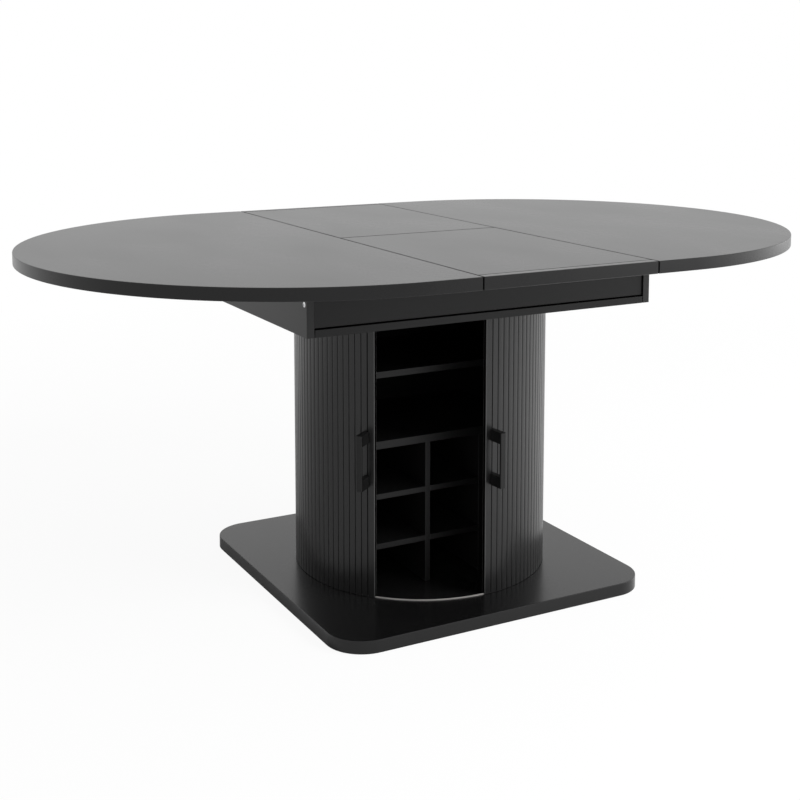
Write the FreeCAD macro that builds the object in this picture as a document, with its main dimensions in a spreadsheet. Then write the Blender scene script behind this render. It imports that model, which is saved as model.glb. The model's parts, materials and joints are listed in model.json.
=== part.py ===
import FreeCAD, Part
import math
import os
import re

import Sketcher

# An extending dining table. Its racetrack top is two halves with a two-board leaf between them,
# and it stands on a round drum cabinet that two tambour doors close.
# X is the way the top extends, -Y is the front, Z is up, and the origin is on the floor under the drum.

SIZES = {
    # top and leaf
    "table_height": 775,
    "table_width": 1190,
    "leaf_length": 400,  # room between the two halves
    "end_straight": 95,  # straight run of each half before its round end
    "top_thick": 25,
    "edge_round": 1.5,
    "seam_gap": 1.5,
    "slide_gap": 0.3,  # running gap between the top and the tray
    # tray under the top
    "tray_length": 830,
    "tray_depth": 600,
    "tray_height": 122,
    "tray_end_thick": 16,
    "tray_side_thick": 15,
    "tray_floor_thick": 15,
    "tray_side_setback": 4,  # front board behind the edges of the end boards
    "shadow_gap": 3,  # slot between the long boards and the tray floor
    "joint_groove": 2,  # wide and deep, where a long board meets an end board
    # base
    "base_side": 750,
    "base_thick": 27,
    "base_corner": 80,
    "pad_thick": 1,
    "pad_radius": 20,
    "pad_inset": 75,
    # drum and tambour doors
    "drum_radius": 285,
    "slat_thick": 8,
    "slat_angle": 3,
    "slat_count": 30,
    "slat_gap": 0.4,
    "groove_width": 2.4,
    "groove_depth": 3,
    "canvas_thick": 0.8,
    "stile_angle": 3.4,  # plain strip at each door's leading edge
    "meet_angle": 0.12,  # half of the gap between the closed doors
    "door_travel": 48,
    "foot_gap": 0.8,
    "head_entry": 4,  # how far the slats reach into the tray floor's groove
    "track_gap": 0.8,
    "rail_width": 2,
    "rail_height": 5,
    "rail_sink": 3,
    # fixed shell and cabinet inside the drum
    "wall_gap": 3.7,
    "wall_thick": 10,
    "wall_overlap_angle": 2,
    "drum_top_thick": 18,
    "cabinet_width": 412,
    "cabinet_gap": 1.7,
    "panel_thick": 9,
    "shelf_thick": 14,
    "rack_board_thick": 12,
    "board_gap": 0.2,
    "upper_shelf_drop": 116,  # below the drum's top board
    "rack_height": 340,
    "rack_top_thick": 17,
    "rack_pitch": 110,
    # handles
    "handle_angle": 4,
    "handle_low": 268,
    "handle_length": 120,
    "handle_width": 13,
    "handle_reach": 36,
    "handle_bar": 10,
    "handle_leg": 26,
    "handle_round": 1.5,
    "handle_seat": 0.3,
    # slides that carry the halves
    "channel_inset": 7,  # from each end board of the tray
    "channel_height": 39,
    "channel_depth": 12,
    "channel_sheet": 1.5,
    "channel_drop": 9,  # below the top's underside
    "carriage_length": 145,
    "carriage_inset": 5,  # from the half's straight edge
    "carriage_gap": 0.5,
    "carriage_proud": 1,
    "bracket_sheet": 3,
    "bracket_flange": 32,
    # fasteners, pins and hinge barrels
    "bore_gap": 0.15,
    "screw_radius": 2.5,
    "screw_head_radius": 4.5,
    "corner_head_radius": 5.5,
    "screw_head_thick": 2.5,
    "screw_proud": 0.4,
    "corner_screw_length": 50,
    "corner_screw_drop": 57,  # below the top's underside
    "tray_screw_length": 28,
    "tray_screw_place": 120,
    "base_screw_length": 60,
    "base_screw_sink": 5,
    "base_screw_place": 100,
    "bracket_screw_length": 18,
    "bracket_screw_inset": 30,
    "handle_screw_length": 20,
    "handle_screw_head": 1.5,
    "shelf_pin_radius": 2.5,
    "shelf_pin_length": 16,
    "shelf_pin_depth": 7,
    "shelf_pin_place": 110,
    "barrel_radius": 6,
    "barrel_length": 12,
    "barrel_place": 140,
    # length of every cutting tool past the face that it leaves
    "overrun": 5,
}

# levels and radii that follow from the sizes
TOP_UNDER = "(table_height - top_thick)"
TRAY_LOW = f"({TOP_UNDER} - tray_height)"
TRAY_FLOOR = f"({TRAY_LOW} + tray_floor_thick)"
TRAY_RIM = f"({TOP_UNDER} - slide_gap)"
BASE_TOP = "(pad_thick + base_thick)"
HALF_SIDE = "(base_side / 2)"
SLAT_BACK = "(drum_radius - slat_thick)"
CANVAS_BACK = f"({SLAT_BACK} - canvas_thick)"
WALL_OUT = f"({CANVAS_BACK} - wall_gap)"
WALL_IN = f"({WALL_OUT} - wall_thick)"
DRUM_LOW = f"({TRAY_LOW} - drum_top_thick)"
RAIL_MID = f"({SLAT_BACK} / 2 + drum_radius / 2)"
RAIL_IN = f"({RAIL_MID} - rail_width / 2)"
RAIL_OUT = f"({RAIL_MID} + rail_width / 2)"
RAIL_LOW = f"({BASE_TOP} - rail_sink)"
RAIL_TOP = f"({RAIL_LOW} + rail_height)"
PANEL_OUT = "(cabinet_width / 2)"
PANEL_IN = f"({PANEL_OUT} - panel_thick)"
CABINET_REACH = f"(sqrt(pow({WALL_IN} - cabinet_gap; 2) - pow({PANEL_OUT}; 2)))"
BACK_FACE = f"({CABINET_REACH} - panel_thick)"
UPPER_SHELF = f"({DRUM_LOW} - upper_shelf_drop)"
COLUMN = f"(({PANEL_IN} * 2 - rack_board_thick * 2) / 3)"
DIVIDER_IN = f"({COLUMN} / 2)"
DIVIDER_OUT = f"({DIVIDER_IN} + rack_board_thick)"
TRAY_X = "(tray_length / 2)"
TRAY_X_IN = f"({TRAY_X} - tray_end_thick)"
TRAY_Y = "(tray_depth / 2)"
TRAY_SIDE_OUT = f"({TRAY_Y} - tray_side_setback)"
TRAY_SIDE_IN = f"({TRAY_SIDE_OUT} - tray_side_thick)"
STILE_SWEEP = "(stile_angle + slat_angle)"
DOOR_SWEEP = f"({STILE_SWEEP} + slat_angle * slat_count)"
CLOSED_ANGLE = "(90 - meet_angle)"

WORD = re.compile("[a-z_]+")
TURNS = {
    "+x": FreeCAD.Rotation(FreeCAD.Vector(0, 1, 0), 90),
    "-x": FreeCAD.Rotation(FreeCAD.Vector(0, 1, 0), -90),
    "+y": FreeCAD.Rotation(FreeCAD.Vector(1, 0, 0), -90),
    "-y": FreeCAD.Rotation(FreeCAD.Vector(1, 0, 0), 90),
    "+z": FreeCAD.Rotation(),
    "-z": FreeCAD.Rotation(FreeCAD.Vector(1, 0, 0), 180),
}
BACKWARD = {"+x": "-x", "-x": "+x", "+y": "-y", "-y": "+y", "+z": "-z", "-z": "+z"}

doc = FreeCAD.newDocument("extending_table")
sheet = doc.addObject("Spreadsheet::Sheet", "sizes")
for row, (alias, number) in enumerate(SIZES.items(), start=1):
    sheet.set(f"A{row}", alias.replace("_", " "))
    sheet.set(f"B{row}", str(number))
    sheet.setAlias(f"B{row}", alias)
doc.recompute()

pieces = []


def tied(text):
    """A formula in the names of the sizes, as the document's expressions want it."""
    return WORD.sub(lambda word: ("sizes." if word.group() in SIZES else "") + word.group(), str(text))


def bind(item, **formulas):
    for prop, text in formulas.items():
        item.setExpression(prop, tied(text))
    return item


def place(item, x="0", y="0", z="0"):
    for letter, text in zip("xyz", (x, y, z)):
        item.setExpression(f"Placement.Base.{letter}", tied(text))
    return item


def turn(item, angle):
    item.setExpression("Placement.Rotation.Angle", tied(angle))
    return item


def piece(item, node):
    item.Label = node
    pieces.append(item)
    return item


def board(name, x, y, z):
    """A box between two formulas along each axis."""
    item = doc.addObject("Part::Box", name)
    bind(item, Length=f"({x[1]}) - ({x[0]})", Width=f"({y[1]}) - ({y[0]})", Height=f"({z[1]}) - ({z[0]})")
    return place(item, x[0], y[0], z[0])


def rod(name, way, spot, radius, length):
    """A cylinder that starts at a spot and runs one way along an axis."""
    item = doc.addObject("Part::Cylinder", name)
    bind(item, Radius=radius, Height=length)
    item.Placement.Rotation = TURNS[way]
    return place(item, *spot)


def group(name, items):
    item = doc.addObject("Part::Compound", name)
    item.Links = items
    return item


def cut(name, base, tool):
    item = doc.addObject("Part::Cut", name)
    item.Base = base
    item.Tool = tool
    return item


def fuse(name, items):
    item = doc.addObject("Part::MultiFuse", name)
    item.Shapes = items
    item.Refine = True
    return item


def ring(name, inner, outer, low, high, sweep="360"):
    """A ring, or a sector of one that starts on +X, between two radii and two levels."""
    walls = []
    for part_name, radius in (("outer", outer), ("inner", inner)):
        wall = doc.addObject("Part::Cylinder", f"{name}_{part_name}")
        bind(wall, Radius=radius, Height=f"({high}) - ({low})", Angle=sweep)
        walls.append(place(wall, z=low))
    return cut(name, walls[0], walls[1])


def bores(name, way, spots, radius, depth):
    """Drills for holes along one axis, each from its spot, and an overrun behind it."""
    drills = []
    for number, spot in enumerate(spots):
        ahead = rod(f"{name}_ahead_{number}", way, spot, f"{radius} + bore_gap", depth)
        behind = rod(f"{name}_behind_{number}", BACKWARD[way], spot, f"{radius} + bore_gap", "overrun")
        drills += [ahead, behind]
    return fuse(name, drills)


def screws(name, way, spots, shank, length, head, head_thick):
    """Screws along one axis, each with the underside of its head at its spot."""
    made = []
    for number, spot in enumerate(spots):
        shank_rod = rod(f"{name}_shank_{number}", way, spot, shank, length)
        head_rod = rod(f"{name}_head_{number}", BACKWARD[way], spot, head, head_thick)
        made.append(fuse(f"{name}_{number}", [shank_rod, head_rod]))
    return piece(group(name, made), name)


def body_sketch(body, role, name, offset="0"):
    sketch = body.newObject("Sketcher::SketchObject", name)
    plane = [item for item in body.Origin.OriginFeatures if item.Role == role][0]
    sketch.AttachmentSupport = (plane, [""])
    sketch.MapMode = "FlatFace"
    sketch.setExpression("AttachmentOffset.Base.z", tied(offset))
    return sketch


def outline(sketch, corners):
    """A closed outline of straight lines, each corner held by two formulas."""
    count = len(corners)
    rough = [FreeCAD.Vector(math.cos(k * math.tau / count), math.sin(k * math.tau / count), 0)
             for k in range(count)]
    for k in range(count):
        sketch.addGeometry(Part.LineSegment(rough[k], rough[(k + 1) % count]), False)
    for k in range(count):
        sketch.addConstraint(Sketcher.Constraint("Coincident", k, 2, (k + 1) % count, 1))
    for k, (across, along) in enumerate(corners):
        for kind, text, start in (("DistanceX", across, rough[k].x), ("DistanceY", along, rough[k].y)):
            held = sketch.addConstraint(Sketcher.Constraint(kind, -1, 1, k, 1, start))
            sketch.setExpression(f"Constraints[{held}]", tied(text))
    return sketch


def pad(body, sketch, name, height, centred=False):
    item = body.newObject("PartDesign::Pad", name)
    item.Profile = sketch
    if centred:
        item.SideType = "Symmetric"
    bind(item, Length=height)
    doc.recompute()
    return item


def rounded(body, base, name, radius, wanted):
    """Rounds the edges of a feature that the test picks."""
    item = body.newObject("PartDesign::Fillet", name)
    item.Base = (base, [f"Edge{k}" for k, edge in enumerate(base.Shape.Edges, start=1) if wanted(edge)])
    bind(item, Radius=radius)
    doc.recompute()
    return item


def new_body(name):
    return doc.addObject("PartDesign::Body", name)


def is_level(edge):
    return edge.BoundBox.ZLength < edge.Length / 2


def polar(radius, angle, side):
    """A corner at a radius and an angle from the door's leading edge, seen from the handle's direction."""
    swing = f"({angle} - handle_angle)"
    return f"({radius}) * cos({swing})", f"{side} * ({radius}) * sin({swing})"


# Base: a rounded square plate on glide pads, with a groove for the tambours' guide rail.
def base():
    body = new_body("base_slab")
    corners = [(f"{a} * {HALF_SIDE}", f"{b} * {HALF_SIDE}") for a, b in ((-1, -1), (1, -1), (1, 1), (-1, 1))]
    slab = pad(body, outline(body_sketch(body, "XY_Plane", "base_outline", "pad_thick"), corners),
               "base_pad", "base_thick")
    slab = rounded(body, slab, "base_corners", "base_corner", lambda edge: not is_level(edge))
    top = body.Shape.BoundBox.ZMax
    rounded(body, slab, "base_rim", "edge_round", lambda edge: edge.BoundBox.ZMin > top - edge.Length / 1000)
    groove = ring("base_groove", f"{RAIL_IN} - bore_gap", f"{RAIL_OUT} + bore_gap", RAIL_LOW,
                  f"{BASE_TOP} + overrun")
    panel_mid = f"({PANEL_OUT} - panel_thick / 2)"
    back_mid = f"({BACK_FACE} + panel_thick / 2)"
    seat = "pad_thick + base_screw_sink"
    spots = [(f"{a} * {panel_mid}", f"{b} * base_screw_place", seat) for a in (-1, 1) for b in (-1, 1)]
    spots += [(f"{a} * base_screw_place", back_mid, seat) for a in (-1, 1)]
    holes = bores("base_screw_holes", "+z", spots, "screw_radius", "base_thick")
    sinks = bores("base_screw_sinks", "-z", spots, "screw_head_radius", "base_screw_sink + overrun")
    for drill in sinks.Shapes:
        if "behind" in drill.Name:
            bind(drill, Height="bore_gap")
    piece(cut("base_plate", body, fuse("base_tools", [groove, holes, sinks])), "base_plate")
    screws("base_screws", "+z", spots, "screw_radius", "base_screw_length", "screw_head_radius",
           "screw_head_thick")
    pad_place = f"({HALF_SIDE} - pad_inset)"
    pads = [rod(f"glide_pad_{k}", "+z", (f"{a} * {pad_place}", f"{b} * {pad_place}", "0"), "pad_radius",
                "pad_thick") for k, (a, b) in enumerate(((-1, -1), (1, -1), (1, 1), (-1, 1), (0, 0)))]
    piece(group("glide_pads", pads), "glide_pads")
    piece(ring("lower_rail", RAIL_IN, RAIL_OUT, RAIL_LOW, RAIL_TOP), "lower_rail")
    return spots


# Cabinet: side and back panels with an upper shelf and a rack of three columns under a fixed shelf.
def cabinet(base_spots):
    front = f"-{CABINET_REACH}"
    pin_height = f"({UPPER_SHELF} - shelf_pin_radius - board_gap)"
    pin_spots = {side: [(f"{side} * ({PANEL_IN} + shelf_pin_depth)", f"{b} * shelf_pin_place", pin_height)
                        for b in (-1, 1)] for side in (-1, 1)}
    anchor = "pad_thick + base_screw_sink + base_screw_length + bore_gap"
    levels = (BASE_TOP, DRUM_LOW)
    for side, word, way in ((-1, "left", "+x"), (1, "right", "-x")):
        span = (PANEL_IN, PANEL_OUT) if side > 0 else (f"-{PANEL_OUT}", f"-{PANEL_IN}")
        plain = board(f"side_board_{word}", span, (front, CABINET_REACH), levels)
        pin_holes = fuse(f"pin_holes_{word}", [
            rod(f"pin_hole_{word}_{k}", way, spot, "shelf_pin_radius + bore_gap", "shelf_pin_length")
            for k, spot in enumerate(pin_spots[side])])
        own_spots = [spot for spot in base_spots[:4] if spot[0].startswith(f"{side} ")]
        screw_holes = fuse(f"panel_screw_holes_{word}", [
            rod(f"panel_screw_hole_{word}_{k}", "+z", (spot[0], spot[1], "0"), "screw_radius + bore_gap",
                anchor) for k, spot in enumerate(own_spots)])
        piece(cut(f"side_panel_{word}", plain, fuse(f"side_tools_{word}", [pin_holes, screw_holes])),
              f"side_panel_{word}")
    back = board("back_board", (f"-{PANEL_IN} + board_gap", f"{PANEL_IN} - board_gap"),
                 (BACK_FACE, CABINET_REACH), levels)
    back_holes = fuse("back_screw_holes", [
        rod(f"back_screw_hole_{k}", "+z", (spot[0], spot[1], "0"), "screw_radius + bore_gap", anchor)
        for k, spot in enumerate(base_spots[4:])])
    piece(cut("back_panel", back, back_holes), "back_panel")
    pins = []
    for side, way in ((-1, "+x"), (1, "-x")):
        for spot in pin_spots[side]:
            start = (f"{spot[0]} - {side} * board_gap", spot[1], spot[2])
            pins.append(rod(f"shelf_pin_{len(pins)}", way, start, "shelf_pin_radius", "shelf_pin_length"))
    piece(group("shelf_pins", pins), "shelf_pins")

    across = (f"-{PANEL_IN} + board_gap", f"{PANEL_IN} - board_gap")
    depth = (front, f"{BACK_FACE} - board_gap")
    for name, low, thick in (("upper_shelf", UPPER_SHELF, "shelf_thick"),
                             ("rack_top_shelf", "rack_height", "rack_top_thick")):
        piece(board(name, across, depth, (low, f"{low} + {thick}")), name)
    for side, word in ((-1, "left"), (1, "right")):
        span = (DIVIDER_IN, DIVIDER_OUT) if side > 0 else (f"-{DIVIDER_OUT}", f"-{DIVIDER_IN}")
        piece(board(f"rack_divider_{word}", span, depth, (BASE_TOP, "rack_height")), f"rack_divider_{word}")
    columns = {"left": (f"-{PANEL_IN}", f"-{DIVIDER_OUT}"), "middle": (f"-{DIVIDER_IN}", DIVIDER_IN),
               "right": (DIVIDER_OUT, PANEL_IN)}
    for word, (start, end) in columns.items():
        for row, row_word in ((1, "upper"), (2, "lower")):
            top = f"(rack_height - rack_pitch * {row} + rack_board_thick)"
            low = f"({top} - rack_board_thick)"
            node = f"rack_shelf_{word}_{row_word}"
            piece(board(node, (f"{start} + board_gap", f"{end} - board_gap"), depth, (low, top)), node)


# Fixed fluted shell behind the cabinet, which the doors run round, and the board on top of it,
# round at the back and cut straight along the front of the cabinet.
def drum_shell():
    body = new_body("back_wall")
    section = outline(body_sketch(body, "XZ_Plane", "wall_section"),
                      [(WALL_IN, BASE_TOP), (WALL_OUT, BASE_TOP), (WALL_OUT, DRUM_LOW), (WALL_IN, DRUM_LOW)])
    wall = body.newObject("PartDesign::Revolution", "wall_shell")
    wall.Profile = section
    wall.ReferenceAxis = (section, ["V_Axis"])
    bind(wall, Angle="180 + wall_overlap_angle * 2")
    doc.recompute()
    start = "(wall_overlap_angle + slat_angle / 2)"
    spread = f"(groove_width / drum_radius * 180 / {math.pi})"
    proud = f"({WALL_OUT} + groove_depth)"
    flute = outline(body_sketch(body, "XY_Plane", "flute_section", f"{DRUM_LOW} + overrun"), [
        (f"({WALL_OUT} - groove_depth) * cos{start}", f"({WALL_OUT} - groove_depth) * sin{start}"),
        (f"{proud} * cos({start} - {spread})", f"{proud} * sin({start} - {spread})"),
        (f"{proud} * cos({start} + {spread})", f"{proud} * sin({start} + {spread})")])
    first = body.newObject("PartDesign::Pocket", "flute")
    first.Profile = flute
    first.Type = "ThroughAll"
    doc.recompute()
    flutes = body.newObject("PartDesign::PolarPattern", "flutes")
    flutes.Originals = [first]
    flutes.Axis = (flute, ["N_Axis"])
    bind(flutes, Angle="180 - slat_angle", Occurrences="round(180 / slat_angle)")
    body.Tip = flutes
    turn(body, "-wall_overlap_angle")
    piece(body, "back_wall")

    disc = rod("drum_disc", "+z", ("0", "0", DRUM_LOW), WALL_OUT, "drum_top_thick")
    holes = bores("drum_top_holes", "-z", tray_screw_spots(), "screw_radius",
                  "tray_floor_thick + tray_screw_length")
    front = board("drum_front_cut", (f"-{WALL_OUT}", WALL_OUT),
                  (f"-{WALL_OUT} - overrun", f"-{CABINET_REACH}"),
                  (f"{DRUM_LOW} - overrun", f"{TRAY_LOW} + overrun"))
    piece(cut("drum_top", disc, fuse("drum_top_tools", [holes, front])), "drum_top")


# Tray: two end boards, two long boards and a floor, with the upper guide groove in the floor's underside.
def tray_screw_spots():
    return [(f"{a} * tray_screw_place", f"{b} * tray_screw_place", TRAY_FLOOR)
            for a in (-1, 1) for b in (-1, 1)]


def tray():
    side_mid = f"({TRAY_SIDE_OUT} - tray_side_thick / 2)"
    head_seat = f"({TRAY_X} + screw_proud - screw_head_thick)"
    screw_height = f"({TOP_UNDER} - corner_screw_drop)"
    spots = {side: [(f"{side} * {head_seat}", f"{b} * {side_mid}", screw_height) for b in (-1, 1)]
             for side in (-1, 1)}
    made = []
    drills = []
    for side, word, way in ((-1, "left", "+x"), (1, "right", "-x")):
        span = (TRAY_X_IN, TRAY_X) if side > 0 else (f"-{TRAY_X}", f"-{TRAY_X_IN}")
        plain = board(f"tray_end_board_{word}", span, (f"-{TRAY_Y}", TRAY_Y), (TRAY_LOW, TRAY_RIM))
        shanks = bores(f"corner_holes_{word}", way, spots[side], "screw_radius", "corner_screw_length")
        heads = fuse(f"corner_sinks_{word}", [
            rod(f"corner_sink_{word}_{k}", BACKWARD[way], spot, "corner_head_radius + bore_gap", "overrun")
            for k, spot in enumerate(spots[side])])
        drills.append(shanks)
        piece(cut(f"tray_end_{word}", plain, fuse(f"tray_end_tools_{word}", [shanks, heads])),
              f"tray_end_{word}")
        for k, spot in enumerate(spots[side]):
            name = f"corner_screw_{word}_{k}"
            shank = rod(f"{name}_shank", way, spot, "screw_radius", "corner_screw_length")
            head = rod(f"{name}_head", BACKWARD[way], spot, "corner_head_radius", "screw_head_thick")
            made.append(fuse(name, [shank, head]))
    piece(group("corner_screws", made), "corner_screws")
    inner = (f"-{TRAY_X_IN}", TRAY_X_IN)
    ends = {"left": (f"-{TRAY_X}", f"-{TRAY_X_IN} + joint_groove"),
            "right": (f"{TRAY_X_IN} - joint_groove", TRAY_X)}
    floor_grooves = []
    for side, word in ((-1, "front"), (1, "rear")):
        span = (TRAY_SIDE_IN, TRAY_SIDE_OUT) if side > 0 else (f"-{TRAY_SIDE_OUT}", f"-{TRAY_SIDE_IN}")
        levels = (f"{TRAY_FLOOR} + shadow_gap", TRAY_RIM)
        plain = board(f"tray_side_board_{word}", inner, span, levels)
        face = sorted_span(side, f"{side} * ({TRAY_SIDE_OUT} - joint_groove)", f"{side} * {TRAY_Y}")
        tall = (f"{levels[0]} - overrun", f"{levels[1]} + overrun")
        grooves = [board(f"joint_groove_{word}_{end}", across, face, tall) for end, across in ends.items()]
        piece(cut(f"tray_{word}", plain, group(f"tray_side_tools_{word}", drills + grooves)), f"tray_{word}")
        rim = sorted_span(side, f"{side} * ({TRAY_Y} - joint_groove)", f"{side} * ({TRAY_Y} + overrun)")
        floor_grooves += [board(f"floor_groove_{word}_{end}", across, rim,
                                (f"{TRAY_LOW} - overrun", f"{TRAY_FLOOR} + overrun"))
                          for end, across in ends.items()]
    plain = board("tray_floor_board", inner, (f"-{TRAY_Y}", TRAY_Y), (TRAY_LOW, TRAY_FLOOR))
    groove = ring("upper_groove", f"{CANVAS_BACK} - track_gap + canvas_thick", "drum_radius + track_gap",
                  f"{TRAY_LOW} - overrun", f"{TRAY_LOW} + head_entry + track_gap")
    holes = bores("tray_screw_holes", "-z", tray_screw_spots(), "screw_radius", "tray_floor_thick + overrun")
    tools = fuse("tray_floor_tools", [groove, holes, *floor_grooves])
    piece(cut("tray_floor", plain, tools), "tray_floor")
    screws("tray_screws", "-z", tray_screw_spots(), "screw_radius", "tray_screw_length",
           "screw_head_radius", "screw_head_thick")


# Slides: a steel channel along each long board of the tray, and a carriage with a bracket for each half.
def slides():
    high = f"({TOP_UNDER} - channel_drop)"
    low = f"({high} - channel_height)"
    half = f"({TRAY_X_IN} - channel_inset)"
    start = "(leaf_length / 2 + carriage_inset)"
    end = f"({start} + carriage_length)"
    flange = f"({TOP_UNDER} - bracket_sheet)"
    carriage_levels = (f"{low} + channel_sheet + carriage_gap", f"{high} - channel_sheet - carriage_gap")
    holes = {}
    for side, word in ((-1, "front"), (1, "rear")):
        back, lip = f"{side} * {TRAY_SIDE_IN}", f"{side} * ({TRAY_SIDE_IN} - channel_depth)"
        inner = f"{side} * ({TRAY_SIDE_IN} - channel_sheet)"
        past = f"{side} * ({TRAY_SIDE_IN} - channel_depth - overrun)"
        shell = board(f"channel_shell_{word}", (f"-{half}", half), sorted_span(side, lip, back), (low, high))
        room = board(f"channel_room_{word}", (f"-{half} - overrun", f"{half} + overrun"),
                     sorted_span(side, past, inner), (f"{low} + channel_sheet", f"{high} - channel_sheet"))
        piece(cut(f"slide_channel_{word}", shell, room), f"slide_channel_{word}")
    for half_side, half_word in ((-1, "left"), (1, "right")):
        carriages, brackets, spots = [], [], []
        across = (start, end) if half_side > 0 else (f"-{end}", f"-{start}")
        for side, word in ((-1, "front"), (1, "rear")):
            tag = f"{half_word}_{word}"
            outer = f"{side} * ({TRAY_SIDE_IN} - channel_sheet - carriage_gap)"
            proud = f"({TRAY_SIDE_IN} - channel_depth - carriage_proud)"
            carriages.append(board(f"carriage_{tag}", across,
                                   sorted_span(side, f"{side} * {proud}", outer), carriage_levels))
            web = board(f"bracket_web_{tag}", across,
                        sorted_span(side, f"{side} * ({proud} - bracket_sheet)", f"{side} * {proud}"),
                        (low, TOP_UNDER))
            foot = board(f"bracket_foot_{tag}", across,
                         sorted_span(side, f"{side} * ({proud} - bracket_flange)", f"{side} * {proud}"),
                         (flange, TOP_UNDER))
            place_y = f"{side} * ({proud} - bracket_flange / 2 - bracket_sheet / 2)"
            pair = [(f"{half_side} * ({start} + {reach})", place_y, flange)
                    for reach in ("bracket_screw_inset", "carriage_length - bracket_screw_inset")]
            spots += pair
            pair_holes = bores(f"bracket_holes_{tag}", "+z", pair, "screw_radius", "bracket_sheet + overrun")
            brackets.append(cut(f"bracket_{tag}", fuse(f"bracket_plain_{tag}", [web, foot]), pair_holes))
        piece(group(f"slide_carriages_{half_word}", carriages), f"slide_carriages_{half_word}")
        piece(group(f"slide_brackets_{half_word}", brackets), f"slide_brackets_{half_word}")
        screws(f"bracket_screws_{half_word}", "+z", spots, "screw_radius", "bracket_screw_length",
               "screw_head_radius", "screw_head_thick")
        holes[half_word] = bores(f"top_holes_{half_word}", "+z", spots, "screw_radius",
                                 "bracket_screw_length + bore_gap")
    return holes


def sorted_span(side, near, far):
    """Two formulas of the same side in rising order."""
    return (near, far) if side > 0 else (far, near)


# Top: two halves with round ends, and the leaf's two boards with hinge barrels in their meeting edges.
def top_half(side, word, holes):
    body = new_body(f"top_slab_{word}")
    sketch = body_sketch(body, "XY_Plane", f"top_outline_{word}", TOP_UNDER)
    seam = side * SIZES["leaf_length"] / 2
    middle = seam + side * SIZES["end_straight"]
    radius = SIZES["table_width"] / 2
    low_seam, low_end = FreeCAD.Vector(seam, -radius, 0), FreeCAD.Vector(middle, -radius, 0)
    high_seam, high_end = FreeCAD.Vector(seam, radius, 0), FreeCAD.Vector(middle, radius, 0)
    far = FreeCAD.Vector(middle + side * radius, 0, 0)
    start, finish = (low_end, high_end) if side > 0 else (high_end, low_end)
    near_start, near_finish = (low_seam, high_seam) if side > 0 else (high_seam, low_seam)
    sketch.addGeometry(Part.LineSegment(near_start, start), False)
    sketch.addGeometry(Part.Arc(start, far, finish), False)
    sketch.addGeometry(Part.LineSegment(finish, near_finish), False)
    sketch.addGeometry(Part.LineSegment(near_finish, near_start), False)
    for kind, first, second in (("Tangent", 0, 1), ("Tangent", 1, 2), ("Coincident", 2, 3),
                                ("Coincident", 3, 0)):
        sketch.addConstraint(Sketcher.Constraint(kind, first, 2, second, 1))
    sketch.addConstraint(Sketcher.Constraint("PointOnObject", 1, 3, -1))
    sketch.addConstraint(Sketcher.Constraint("Vertical", 3))
    sketch.addConstraint(Sketcher.Constraint("Horizontal", 0))
    sketch.addConstraint(Sketcher.Constraint("Horizontal", 2))
    held = sketch.addConstraint(Sketcher.Constraint("Radius", 1, radius))
    sketch.setExpression(f"Constraints[{held}]", tied("table_width / 2"))
    held = sketch.addConstraint(Sketcher.Constraint("DistanceX", -1, 1, 1, 3, middle))
    sketch.setExpression(f"Constraints[{held}]", tied(f"{side} * (leaf_length / 2 + end_straight)"))
    held = sketch.addConstraint(Sketcher.Constraint("DistanceX", -1, 1, 3, 1, seam))
    sketch.setExpression(f"Constraints[{held}]", tied(f"{side} * leaf_length / 2"))
    slab = pad(body, sketch, f"top_pad_{word}", "top_thick")
    rounded(body, slab, f"top_rim_{word}", "edge_round",
            lambda edge: is_level(edge) and edge.BoundBox.XLength > edge.Length / 1000)
    piece(cut(f"top_{word}", body, holes), f"top_{word}")


def leaf_board(side, word):
    body = new_body(f"leaf_slab_{word}")
    half = "(leaf_length / 2 - seam_gap)"
    near, far = f"{side} * seam_gap / 2", f"{side} * table_width / 2"
    corners = [(f"-{half}", near), (half, near), (half, far), (f"-{half}", far)]
    slab = pad(body, outline(body_sketch(body, "XY_Plane", f"leaf_outline_{word}", TOP_UNDER), corners),
               f"leaf_pad_{word}", "top_thick")
    reach = max(abs(slab.Shape.BoundBox.YMin), abs(slab.Shape.BoundBox.YMax))
    rounded(body, slab, f"leaf_rim_{word}", "edge_round",
            lambda edge: is_level(edge) and abs(edge.BoundBox.Center.y) > reach - edge.Length / 1000
            and edge.BoundBox.YLength < edge.Length / 1000)
    way = "+y" if side > 0 else "-y"
    level = f"{TOP_UNDER} + top_thick / 2"
    spots = [(f"{k} * barrel_place", near, level) for k in (-1, 0, 1)]
    holes = bores(f"barrel_holes_{word}", way, spots, "barrel_radius", "barrel_length + bore_gap")
    piece(cut(f"leaf_{word}", body, holes), f"leaf_{word}")
    barrels = [rod(f"barrel_{word}_{k}", way, spot, "barrel_radius", "barrel_length")
               for k, spot in enumerate(spots)]
    piece(group(f"leaf_hinges_{word}", barrels), f"leaf_hinges_{word}")


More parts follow.
